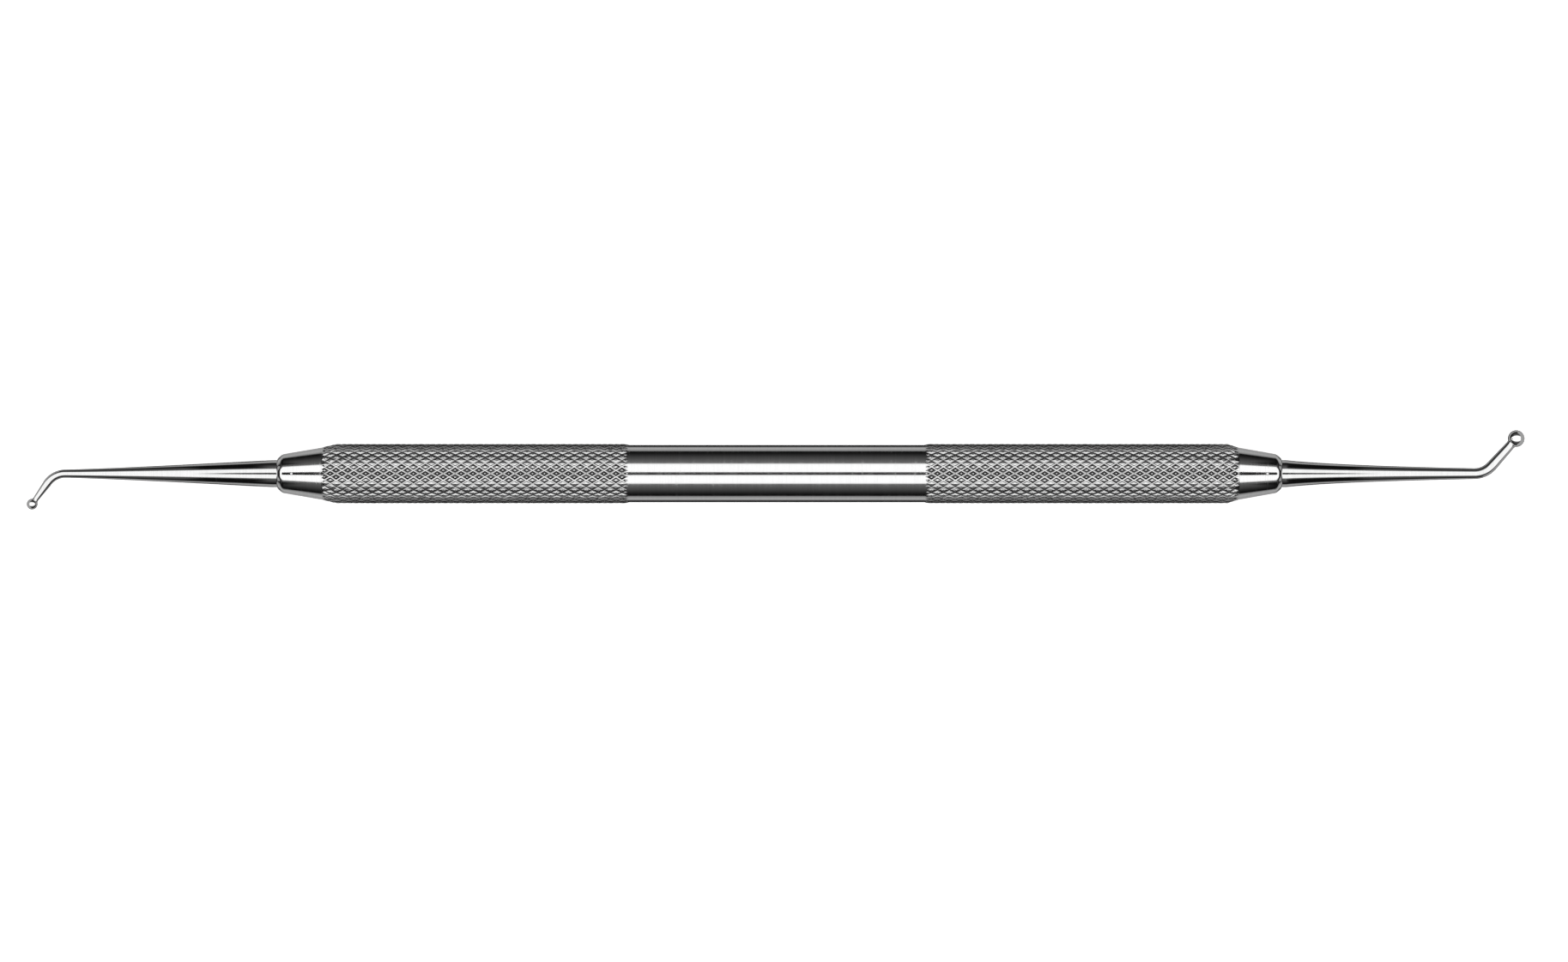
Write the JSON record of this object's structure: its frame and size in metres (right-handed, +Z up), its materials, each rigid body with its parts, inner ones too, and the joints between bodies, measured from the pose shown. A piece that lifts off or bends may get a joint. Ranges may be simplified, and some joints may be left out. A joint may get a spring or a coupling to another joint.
{
  "type": "double-ended ball burnisher",
  "caption": "Slim double-ended hand tool: knurled steel tube handle with a plain centre band, cone noses and thin tapered shanks bent to ball tips.",
  "frame": {"origin": "on the handle's axis, in the middle of the plain centre band", "axes": "+X along the handle towards the large ball, +Y the side the large tip bends to (the small tip bends to -Y), +Z up, square to the plane of both tips, so the tool lies flat on -Z"},
  "size_m": [0.165, 0.0088, 0.0066],
  "materials": {
    "handle_steel": "polished stainless steel, diamond knurled on both grips",
    "nose_steel": "turned and polished stainless steel",
    "shank_steel": "ground and mirror-polished stainless steel",
    "ball_steel": "mirror-polished hardened stainless steel",
    "pin_steel": "ground flush and polished"
  },
  "bodies": {
    "root": {"handle_tube": "handle_steel", "small_end_nose": "nose_steel", "large_end_nose": "nose_steel", "small_end_shank": "shank_steel", "large_end_shank": "shank_steel", "small_ball": "ball_steel", "large_ball": "ball_steel", "small_end_pin": "pin_steel", "large_end_pin": "pin_steel"}
  },
  "joints": []
}
